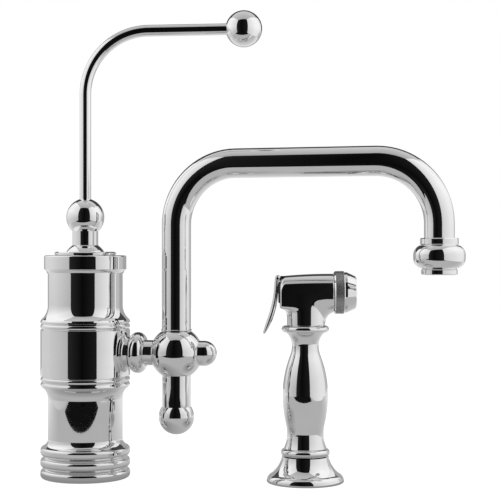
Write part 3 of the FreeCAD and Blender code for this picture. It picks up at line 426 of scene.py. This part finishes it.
# Back line and front edge of the trigger, as (height, place along the barrel).
TRIGGER_BACK = ((154, -22.4), (150, -22.9), (144, -23.3), (138, -23.9), (132, -25.3), (125, -27.2),
                (118, -29.6), (112, -31.3), (110.4, -31.8))
TRIGGER_LIP = ((154, -18.3), (150, -19.3), (144, -20.1), (138, -20.8), (132, -21.5), (125, -23.0),
               (118, -26.0), (112, -29.4), (110.4, -30.2))
LINE_DEGREE = 4
OUTER_PART, INNER_PART = 0.45, 0.6  # depth of the trigger's oval section on both sides of its middle
TRIGGER_TOP_EDGE, TRIGGER_FOOT_EDGE = 2.0, 1.6  # rounding of both ends
BLANK_PART = 0.9  # width of the trigger's blank, as a share of the trigger's
FINE_PART = 0.65  # mesh size of the trigger, as a share of the head's
CHANNEL_FOOT, CHANNEL_TOP, CHANNEL_STEPS = 113, 149, 12
CHANNEL_LEDGE = 149.1  # over this height the trigger has no back between its sides
CHANNEL_REAR, CHANNEL_FRONT, CHANNEL_HIGH, CHANNEL_WALL = -27, -15, 156, 1.4
TRIGGER_BORE = 0.95
BUMP_PLACE, BUMP_RADIUS = -21.65, 1.5  # ball inside the trigger that presses the valve's cap

# How a mesh is laid on its form: rounds of smoothing and its share, steps in each and the longest step.
LAY_ROUNDS, SMOOTHING, LAY_STEPS, LAY_REACH = 6, 0.5, 3, 0.8
SHARP_ANGLE = math.radians(30)
OFF_SKIN, ALONG_SKIN = 0.02, 0.7  # a face that far off the form, or less along it, keeps its own shading


def eased(value, first, last):
    """0 before the first limit, 1 after the last one and smooth between them."""
    share = np.clip((value - first) / (last - first), 0, 1)
    return share * share * (3 - 2 * share)


def joined(first, second, reach):
    """Distance from two forms that blend into each other within a reach."""
    near = np.maximum(reach - np.abs(first - second), 0)
    return np.minimum(first, second) - near * near / (4 * reach)


def shared(first, second, reach):
    """Distance from what two forms have in common, with its edge rounded."""
    return -joined(-first, -second, reach)


def head_distance(points, form):
    """Distance of points from the skin of the head in millimetres, negative inside."""
    x, y, z = points.T
    rear, front = form.rear * MM, form.front * MM
    share = np.clip((x - rear) / (front - rear), 0, 1)
    radius = (form.rear_radius + (form.front_radius - form.rear_radius) * share) * MM
    radius = radius + form.swell * MM * 4 * share * (1 - share)
    high = z - form.axis_high * MM
    skirt = SKIRT_POWER - (SKIRT_POWER - FRONT_POWER) * eased(share, *SKIRT_PART)
    power = np.where(high > 0, TOP_POWER, skirt)
    section = (np.abs(y / radius) ** power + np.abs(high / radius) ** power) ** (1 / power)
    rear_edge = REAR_EDGE + (REAR_TOP_EDGE - REAR_EDGE) * eased(high, *REAR_HEIGHTS)
    barrel = shared(shared(radius * (section - 1), rear - x, rear_edge), x - front, CUT_EDGE)
    neck_wide = form.neck_radius * MM
    neck_deep = neck_wide - NECK_THINNING * eased(z, *NECK_HEIGHTS)
    aside = x - form.neck_aside * MM
    oval = np.abs(aside / neck_wide) ** NECK_POWER + np.abs(y / neck_deep) ** NECK_POWER
    neck = neck_wide * (oval ** (1 / NECK_POWER) - 1)
    neck = shared(neck, z - form.axis_high * MM, NECK_TOP_EDGE)
    forward = eased(x, -BLEND_TURN, BLEND_TURN)
    reach = (form.rear_blend + (form.front_blend - form.rear_blend) * forward) * MM
    reach = SIDE_BLEND + reach * (x * x / (x * x + y * y + 1)) ** BLEND_FOCUS
    return shared(joined(barrel, neck, reach), form.foot_high * MM - z, CUT_EDGE)


def line_through(places):
    """Smooth line near (height, place) pairs, as a function of the height."""
    heights, across = np.array(places).T
    return np.polynomial.Polynomial.fit(heights, across, LINE_DEGREE)


def trigger_distance(points, form):
    """Distance of points from the trigger's outside in millimetres: an oval section along a bent line."""
    x, y, z = points.T
    back, lip = line_through(TRIGGER_BACK)(z), line_through(TRIGGER_LIP)(z)
    wide, edge = form.trigger_wide / 2 * MM, form.trigger_edge * MM
    inward = x - back - OUTER_PART * (lip - back)
    deep = (lip - back) * np.where(inward < 0, OUTER_PART, INNER_PART)
    aside = np.maximum(np.abs(y) - wide + edge, 0) / edge
    skin = (np.sqrt((inward / deep) ** 2 + aside ** 2) - 1) * deep
    high, low = form.trigger_top * MM, form.trigger_foot * MM
    return shared(shared(skin, z - high, TRIGGER_TOP_EDGE), low - z, TRIGGER_FOOT_EDGE)


def slope(distance, points):
    """Way out of a form at each point, and how fast the distance grows along it."""
    small = 0.01
    ways = [distance(points + small * axis) - distance(points - small * axis) for axis in np.eye(3)]
    ways = np.stack(ways, 1) / (2 * small)
    size = np.linalg.norm(ways, axis=1, keepdims=True)
    return ways / size, size


def vertex_places(mesh):
    """Vertices of a mesh in millimetres."""
    places = np.empty(len(mesh.vertices) * 3)
    mesh.vertices.foreach_get("co", places)
    return places.reshape(-1, 3) * MM


def rod_between(shape, first, last, radius, sides=48):
    """Closed rod in a bmesh, between two points in millimetres."""
    first, last = Vector(first) / MM, Vector(last) / MM
    turn = (last - first).to_track_quat("Z", "Y").to_matrix().to_4x4()
    place = Matrix.Translation((first + last) / 2) @ turn
    bmesh.ops.create_cone(shape, cap_ends=True, segments=sides, radius1=radius / MM, radius2=radius / MM,
                          depth=(last - first).length, matrix=place)


def ball(shape, middle, radius):
    """Closed ball in a bmesh, round a point in millimetres."""
    bmesh.ops.create_uvsphere(shape, u_segments=32, v_segments=20, radius=radius / MM,
                              matrix=Matrix.Translation(Vector(middle) / MM))


def prism(shape, outline, half_wide):
    """Closed prism in a bmesh: an outline (x, z) in millimetres, as wide to both sides."""
    sides = [[shape.verts.new((x / MM, y / MM, z / MM)) for x, z in outline]
             for y in (-half_wide, half_wide)]
    shape.faces.new(sides[0])
    shape.faces.new(list(reversed(sides[1])))
    for index in range(len(outline)):
        after = (index + 1) % len(outline)
        shape.faces.new((sides[0][after], sides[0][index], sides[1][index], sides[1][after]))
    bmesh.ops.recalc_face_normals(shape, faces=shape.faces)


def solid_object(name, draw):
    """Object from a drawing function that fills a bmesh."""
    shape = bmesh.new()
    draw(shape)
    mesh = bpy.data.meshes.new(name)
    shape.to_mesh(mesh)
    shape.free()
    item = bpy.data.objects.new(name, mesh)
    bpy.context.scene.collection.objects.link(item)
    return item


def settled(item):
    """Turns an object's modifiers into its own mesh."""
    bpy.context.view_layer.update()
    final = bpy.data.meshes.new_from_object(item.evaluated_get(bpy.context.evaluated_depsgraph_get()))
    item.modifiers.clear()
    item.data = final
    return item


def grown(item, distance, grain):
    """Remeshes a rough solid evenly and lays its vertices on the skin of a form."""
    modifier = item.modifiers.new("even", "REMESH")
    modifier.mode = "VOXEL"
    modifier.voxel_size = grain
    settled(item)
    shape = bmesh.new()
    shape.from_mesh(item.data)
    for _ in range(LAY_ROUNDS):
        bmesh.ops.smooth_vert(shape, verts=shape.verts, factor=SMOOTHING,
                              use_axis_x=True, use_axis_y=True, use_axis_z=True)
        points = np.array([vertex.co for vertex in shape.verts]) * MM
        for _ in range(LAY_STEPS):
            way, size = slope(distance, points)
            points = points - way * np.clip(distance(points)[:, None] / size, -LAY_REACH, LAY_REACH)
        for vertex, point in zip(shape.verts, points):
            vertex.co = point / MM
    shape.to_mesh(item.data)
    shape.free()
    return item


def changed(item, way, draw):
    """Joins a drawn solid to an object or cuts it out."""
    tool = solid_object("tool", draw)
    modifier = item.modifiers.new(way, "BOOLEAN")
    modifier.operation = way
    modifier.solver = "EXACT"
    modifier.object = tool
    settled(item)
    bpy.data.objects.remove(tool)


def shaded(item, distance):
    """Smooth shading that follows the form exactly, with sharp edges where it was cut."""
    mesh = item.data
    mesh.polygons.foreach_set("use_smooth", [True] * len(mesh.polygons))
    mesh.set_sharp_from_angle(angle=SHARP_ANGLE)
    normals = np.empty(len(mesh.loops) * 3)
    mesh.corner_normals.foreach_get("vector", normals)
    normals = normals.reshape(-1, 3)
    points = vertex_places(mesh)
    out, size = slope(distance, points)
    off = np.abs(distance(points)) > OFF_SKIN * size[:, 0]
    for face in mesh.polygons:
        corners = list(face.vertices)
        if off[corners].any() or (out[corners] @ np.array(face.normal)).min() < ALONG_SKIN:
            continue
        normals[face.loop_start:face.loop_start + len(corners)] = out[corners]
    mesh.normals_split_custom_set(normals)


def place_piece(item, name, material, body, slot, *nodes):
    """Puts a piece of the spray in its place for CAD nodes."""
    item.name = name
    item.data.name = name
    item.data.materials.clear()
    item.data.materials.append(material)
    item.matrix_world = SPRAY_PLACE
    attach(item, body)
    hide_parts(*nodes)


def cross_bore(radius):
    """Bore of the trigger's pin, as (first end, last end, radius) in millimetres."""
    return (PIN_PLACE, -PIN_HALF, PIN_HIGH), (PIN_PLACE, PIN_HALF, PIN_HIGH), radius


def head_bores(form):
    """Bores of the head, each as (first end, last end, radius) in millimetres."""
    rear, front, axis, foot = form.rear * MM, form.front * MM, form.axis_high * MM, form.foot_high * MM

    def along(start, stop, radius):
        return (start, 0, axis), (stop, 0, axis), radius

    return [
        along(front - NOZZLE_DEEP, front + PAST, NOZZLE_BORE),
        along(rear + CHAMBER_START, CHAMBER_STOP, CHAMBER_BORE),
        along(JET_START, JET_STOP, JET_BORE),
        along(rear + STEM_START, rear + STEM_STOP, STEM_BORE),
        along(rear - PAST, rear + CAP_DEEP, CAP_BORE),
        ((0, 0, foot - PAST), (0, 0, SOCKET_TOP), SOCKET_BORE),
        ((RISER_PLACE, 0, RISER_FOOT), (RISER_PLACE, 0, axis), RISER_BORE),
        cross_bore(PIN_BORE),
    ]


def lug_outline():
    """Outline (x, z) of the lug that holds the trigger's pin."""
    root = [(LUG_ROOT, PIN_HIGH - LUG_ROUND), (LUG_ROOT, PIN_HIGH + LUG_ROUND)]
    return root + [(PIN_PLACE - LUG_ROUND * math.sin(turn), PIN_HIGH + LUG_ROUND * math.cos(turn))
                   for turn in np.linspace(0, math.pi, LUG_STEPS)]


class ShapeHead(bpy.types.Operator):
    """Build the spray's head as one blended form"""

    bl_idname = "faucet.head"
    bl_label = "Spray head"

    def execute(self, context):
        form = context.scene.faucet_spray
        rear, front, axis = form.rear * MM, form.front * MM, form.axis_high * MM
        low = axis - ROUGH_SKIRT

        def rough(shape):
            rod_between(shape, (rear, 0, axis), (front, 0, axis), ROUGH_BARREL)
            rod_between(shape, (0, 0, form.foot_high * MM), (0, 0, axis), ROUGH_NECK)
            prism(shape, [(rear, low), (front, low), (front, axis), (rear, axis)], ROUGH_SKIRT)

        def distance(points):
            return head_distance(points, form)

        head = grown(solid_object("head", rough), distance, form.grain)
        changed(head, "UNION", lambda shape: prism(shape, lug_outline(), LUG_WIDE))
        for bore in head_bores(form):
            changed(head, "DIFFERENCE", lambda shape: rod_between(shape, *bore))
        shaded(head, distance)
        place_piece(head, "head_form", finish_of(context, "chrome"), "spray", "chrome", "spray_head")
        return {"FINISHED"}


def channel_outline(form):
    """Outline (x, z) of the trigger's hollow, open to the front and at the top."""
    back = line_through(TRIGGER_BACK)
    heights = np.linspace(CHANNEL_FOOT, CHANNEL_TOP, CHANNEL_STEPS)
    floor = [(back(high) + form.trigger_plate * MM, high) for high in heights]
    return floor + [(CHANNEL_REAR, CHANNEL_LEDGE), (CHANNEL_REAR, CHANNEL_HIGH),
                    (CHANNEL_FRONT, CHANNEL_HIGH), (CHANNEL_FRONT, CHANNEL_FOOT)]


class ShapeTrigger(bpy.types.Operator):
    """Build the trigger as an oval channel on its pin"""

    bl_idname = "faucet.trigger"
    bl_label = "Trigger"

    def execute(self, context):
        form = context.scene.faucet_spray
        wide = form.trigger_wide / 2 * MM
        outline = [(place, high) for high, place in TRIGGER_BACK]
        outline += [(place, high) for high, place in reversed(TRIGGER_LIP)]

        def distance(points):
            return trigger_distance(points, form)

        blank = solid_object("trigger_blank", lambda shape: prism(shape, outline, wide * BLANK_PART))
        trigger = grown(blank, distance, form.grain * FINE_PART)
        inside = channel_outline(form)
        changed(trigger, "DIFFERENCE", lambda shape: prism(shape, inside, wide - CHANNEL_WALL))
        changed(trigger, "DIFFERENCE", lambda shape: rod_between(shape, *cross_bore(TRIGGER_BORE)))
        bump = (BUMP_PLACE, 0, form.axis_high * MM)
        changed(trigger, "UNION", lambda shape: ball(shape, bump, BUMP_RADIUS))
        shaded(trigger, distance)
        place_piece(trigger, "trigger_form", finish_of(context, "chrome"), "trigger", "chrome", "trigger")
        return {"FINISHED"}


# ---- studio ----------------------------------------------------------------------------------------------
FLOOR_HALF = 3.0
FLOOR_LEVEL, FRONT_LEVEL, TABLE_LEVEL = -0.0003, -0.0002, -0.0001  # just under the deck, one over the other
SHADE_START, SHADE_REACHES = 0.03, (0.11, 0.07)  # shade round the two feet, from their middles
KEY_PLACE, FILL_PLACE, LAMP_AIM = (-0.9, -0.7, 1.1), (1.1, -0.5, 0.9), (0.08, 0, 0.15)
SENSOR_WIDE = 36
# Level of light that changes along a way of the room, from first at its start to last at its stop.
Fade = namedtuple("Fade", "way start stop first last")


def seen_factor(tree):
    """1 for rays from the camera, from a mirror or through glass."""
    rays = tree.nodes.new("ShaderNodeLightPath")
    total = None
    for name in ("Is Camera Ray", "Is Glossy Ray", "Is Transmission Ray"):
        if total is None:
            total = rays.outputs[name]
            continue
        larger = tree.nodes.new("ShaderNodeMath")
        larger.operation = "MAXIMUM"
        tree.links.new(total, larger.inputs[0])
        tree.links.new(rays.outputs[name], larger.inputs[1])
        total = larger.outputs[0]
    return total


def white_world(soft_light):
    """World that is seen white and lights the object softly."""
    world = bpy.data.worlds.new("studio")
    bpy.context.scene.world = world
    world.use_nodes = True
    tree = world.node_tree
    tree.nodes.clear()
    lit = tree.nodes.new("ShaderNodeBackground")
    lit.inputs["Color"].default_value = (1, 1, 1, 1)
    lit.inputs["Strength"].default_value = soft_light
    seen = tree.nodes.new("ShaderNodeBackground")
    seen.inputs["Color"].default_value = (1, 1, 1, 1)
    seen.inputs["Strength"].default_value = 1
    mix = tree.nodes.new("ShaderNodeMixShader")
    out = tree.nodes.new("ShaderNodeOutputWorld")
    tree.links.new(seen_factor(tree), mix.inputs[0])
    tree.links.new(lit.outputs[0], mix.inputs[1])
    tree.links.new(seen.outputs[0], mix.inputs[2])
    tree.links.new(mix.outputs[0], out.inputs["Surface"])


def floor_material(floor_glow):
    """Pale floor that is seen nearly white and keeps the object's shadow."""
    material = bpy.data.materials.new("pale_floor")
    material.use_nodes = True
    tree = material.node_tree
    shader = tree.nodes["Principled BSDF"]
    shader.inputs["Base Color"].default_value = (0.3, 0.3, 0.3, 1)
    shader.inputs["Roughness"].default_value = 0.9
    shader.inputs["Specular IOR Level"].default_value = 0
    shader.inputs["Emission Color"].default_value = (1, 1, 1, 1)
    glow = tree.nodes.new("ShaderNodeMath")
    glow.operation = "MULTIPLY"
    glow.inputs[1].default_value = floor_glow
    tree.links.new(seen_factor(tree), glow.inputs[0])
    tree.links.new(glow.outputs[0], shader.inputs["Emission Strength"])
    return material


def start_card(name, level):
    """Material that gives its own light, with its glow shader and its object coordinates."""
    material = bpy.data.materials.new(name)
    material.use_nodes = True
    tree = material.node_tree
    tree.nodes.clear()
    glow = tree.nodes.new("ShaderNodeEmission")
    glow.inputs["Color"].default_value = (1, 1, 1, 1)
    glow.inputs["Strength"].default_value = level
    out = tree.nodes.new("ShaderNodeOutputMaterial")
    tree.links.new(glow.outputs[0], out.inputs["Surface"])
    return material, tree, glow, tree.nodes.new("ShaderNodeTexCoord").outputs["Object"]


def faded(tree, place, fades):
    """Product of levels, each of which changes along a way of the room."""
    total = None
    for fade in fades:
        along = tree.nodes.new("ShaderNodeVectorMath")
        along.operation = "DOT_PRODUCT"
        along.inputs[1].default_value = fade.way
        tree.links.new(place, along.inputs[0])
        level = spread(tree, along.outputs["Value"], fade.first, fade.last, fade.start, fade.stop)
        total = product(tree, total, level)
    return total


def card_material(name, level=1.0, fades=()):
    """Card that gives its own light, even or fading along ways of the room."""
    material, tree, glow, place = start_card(name, level)
    if fades:
        tree.links.new(faded(tree, place, fades), glow.inputs["Strength"])
    return material


def table_material():
    """Pale table as the chrome shows it: brighter behind, and shaded round the two feet."""
    material, tree, glow, place = start_card("table_light", 1)
    total = faded(tree, place, [Fade(TOWARD, start=0.05, stop=-0.40, first=0.47, last=0.80)])
    for foot, reach in zip(FEET, SHADE_REACHES):
        gap = tree.nodes.new("ShaderNodeVectorMath")
        gap.operation = "DISTANCE"
        gap.inputs[1].default_value = foot
        tree.links.new(place, gap.inputs[0])
        shade = spread(tree, gap.outputs["Value"], low=0.55, high=1, start=SHADE_START, stop=reach)
        total = product(tree, total, shade)
    tree.links.new(total, glow.inputs["Strength"])
    return material


def spot(aside, near, high):
    """Point of the room: to the right of the column, towards the camera, and over the deck."""
    return RIGHT * aside + TOWARD * near + UP * high


def card(name, corners, material, seen=False):
    """Flat card of the studio, which only mirrors show unless it is seen."""
    mesh = bpy.data.meshes.new(name)
    mesh.from_pydata([tuple(corner) for corner in corners], [], [(0, 1, 2, 3)])
    mesh.materials.append(material)
    item = bpy.data.objects.new(name, mesh)
    bpy.context.scene.collection.objects.link(item)
    item.visible_camera = seen
    item.visible_diffuse = seen
    item.visible_shadow = seen
    return item


def wall(name, first, last, low, high, material):
    """Upright card between two points (aside, near) of the room."""
    return card(name, [spot(*first, low), spot(*last, low), spot(*last, high), spot(*first, high)], material)


def area_light(name, place, size, power):
    """Soft square lamp aimed at the faucet, which no mirror shows."""
    lamp = bpy.data.lights.new(name, "AREA")
    lamp.shape = "SQUARE"
    lamp.size = size
    lamp.energy = power
    item = bpy.data.objects.new(name, lamp)
    item.location = place
    item.rotation_euler = (Vector(LAMP_AIM) - Vector(place)).to_track_quat("-Z", "Y").to_euler()
    item.visible_glossy = False
    item.visible_camera = False
    bpy.context.scene.collection.objects.link(item)
    return item


def set_floor(studio):
    """Pale floor that the camera sees."""
    corners = [(-FLOOR_HALF, -FLOOR_HALF), (FLOOR_HALF, -FLOOR_HALF), (FLOOR_HALF, FLOOR_HALF),
               (-FLOOR_HALF, FLOOR_HALF)]
    card("floor", [(x, y, FLOOR_LEVEL) for x, y in corners], floor_material(studio.floor_glow), seen=True)


def table_corners(studio):
    """Ends of the table's front edge, on the left and on the right."""
    return (spot(studio.black_left, studio.table_edge - studio.edge_slant, TABLE_LEVEL),
            spot(studio.black_right, studio.table_edge + studio.edge_slant, TABLE_LEVEL))


def set_front(studio):
    """Dark side of the room in front of the faucet, and the dark strip between it and the table."""
    left, right, near, top = studio.black_left, studio.black_right, studio.black_near, studio.black_high
    middle = (left + right) / 2
    wall("front_left", (left, near), (middle, near), FRONT_LEVEL, top,
         card_material("dim_left", fades=[Fade(RIGHT, left, middle, first=0.02, last=0.003)]))
    wall("front_right", (middle, near), (right, near), FRONT_LEVEL, top,
         card_material("dim_right", fades=[Fade(RIGHT, middle, right, first=0.003, last=0.012)]))
    edge_left, edge_right = table_corners(studio)
    near_left, near_right = spot(left, near, TABLE_LEVEL), spot(right, near, TABLE_LEVEL)
    card("under_front", [edge_left, edge_right, near_right, near_left],
         card_material("dim_under", level=0.006))


def set_walls(studio):
    """Pale side walls and the grey and dark back wall."""
    near, back, top = studio.black_near, studio.back, studio.black_high
    left, right = (studio.wide_left, back), (studio.wide_right, back)
    grey = (studio.wide_right, studio.grey_start)
    left_fades = [Fade(TOWARD, near, stop=-0.1, first=0.50, last=0.70),
                  Fade(UP, start=0.10, stop=0.42, first=0.95, last=1.45)]
    right_fades = [Fade(TOWARD, near, stop=0.1, first=0.62, last=0.86),
                   Fade(UP, start=0.14, stop=0.42, first=1.0, last=1.18)]
    wall("left_panel", (studio.black_left, near), left, 0, top,
         card_material("left_light", fades=left_fades))
    wall("right_panel", (studio.black_right, near), grey, 0, top,
         card_material("right_light", fades=right_fades))
    wall("right_back", grey, right, 0, top,
         card_material("right_grey", fades=[Fade(UP, start=0.2, stop=0.4, first=0.55, last=0.9)]))
    wall("back_low", left, right, 0, studio.shelf_high, card_material("back_grey", level=0.40))
    wall("back_dark", left, right, studio.shelf_high, top, card_material("back_black", level=0.06))


def set_ceiling(studio):
    """Ceiling, pale over the faucet and dark at the back."""
    left, right, top = studio.wide_left, studio.wide_right, studio.black_high
    near, end, back = studio.black_near, studio.ceiling_end, studio.back
    near_left, near_right = spot(left, near, top), spot(right, near, top)
    end_left, end_right = spot(left, end, top), spot(right, end, top)
    back_left, back_right = spot(left, back, top), spot(right, back, top)
    card("ceiling", [near_left, near_right, end_right, end_left],
         card_material("ceiling_light", fades=[Fade(TOWARD, near, stop=-0.4, first=0.42, last=0.66)]))
    card("ceiling_back", [end_left, end_right, back_right, back_left], card_material("dim_back", level=0.02))


def set_table(studio):
    """Pale table under and beside the faucet, as far as its front edge."""
    table = table_material()
    edge_left, edge_right = table_corners(studio)
    back_left = spot(studio.wide_left, studio.back, TABLE_LEVEL)
    back_right = spot(studio.wide_right, studio.back, TABLE_LEVEL)
    near_left, near_right, wide_left, wide_right = (
        spot(aside, studio.black_near, TABLE_LEVEL)
        for aside in (studio.black_left, studio.black_right, studio.wide_left, studio.wide_right))
    card("table", [back_left, back_right, edge_right, edge_left], table)
    card("table_left", [back_left, edge_left, near_left, wide_left], table)
    card("table_right", [back_right, wide_right, near_right, edge_right], table)


def set_camera(scene, studio):
    """Level camera at the photograph's place, without depth of field."""
    lens = bpy.data.cameras.new("camera")
    lens.lens = studio.lens
    lens.sensor_width = SENSOR_WIDE
    camera = bpy.data.objects.new("camera", lens)
    camera.location = spot(studio.eye_aside, studio.eye_far, studio.eye_high)
    camera.rotation_euler = (-TOWARD).to_track_quat("-Z", "Y").to_euler()
    scene.collection.objects.link(camera)
    scene.camera = camera


class SetStudio(bpy.types.Operator):
    """Set the floor, the cards, the lights and the camera"""

    bl_idname = "faucet.studio"
    bl_label = "Studio"

    def execute(self, context):
        studio = context.scene.faucet_studio
        white_world(studio.soft_light)
        set_floor(studio)
        set_front(studio)
        set_walls(studio)
        set_ceiling(studio)
        set_table(studio)
        area_light("key", KEY_PLACE, studio.lamp_size, studio.key_power)
        area_light("fill", FILL_PLACE, studio.lamp_size, studio.fill_power)
        set_camera(context.scene, studio)
        context.scene.view_settings.view_transform = "Standard"
        return {"FINISHED"}


OPERATORS = (DressColumn, DressLever, DressArm, DressSpout, DressSpray, ShapeHead, ShapeTrigger, SetStudio)


class FaucetPanel(bpy.types.Panel):
    """Buttons for the faucet's pieces and its studio"""

    bl_idname = "VIEW3D_PT_faucet"
    bl_label = "Side spray faucet"
    bl_space_type = "VIEW_3D"
    bl_region_type = "UI"
    bl_category = "Faucet"

    def draw(self, context):
        for operator in OPERATORS:
            self.layout.operator(operator.bl_idname)


CLASSES = (FaucetFinishes, FaucetSprayForm, FaucetStudio, *OPERATORS, FaucetPanel)


def register():
    """Register the classes and the settings."""
    for item in CLASSES:
        bpy.utils.register_class(item)
    bpy.types.Scene.faucet_finishes = PointerProperty(type=FaucetFinishes)
    bpy.types.Scene.faucet_spray = PointerProperty(type=FaucetSprayForm)
    bpy.types.Scene.faucet_studio = PointerProperty(type=FaucetStudio)


def unregister():
    """Remove the settings and the classes."""
    del bpy.types.Scene.faucet_studio
    del bpy.types.Scene.faucet_spray
    del bpy.types.Scene.faucet_finishes
    for item in reversed(CLASSES):
        bpy.utils.unregister_class(item)


def main():
    """Build everything in order."""
    register()
    for operator in OPERATORS:
        group, name = operator.bl_idname.split(".")
        getattr(getattr(bpy.ops, group), name)()


if __name__ == "__main__":
    main()
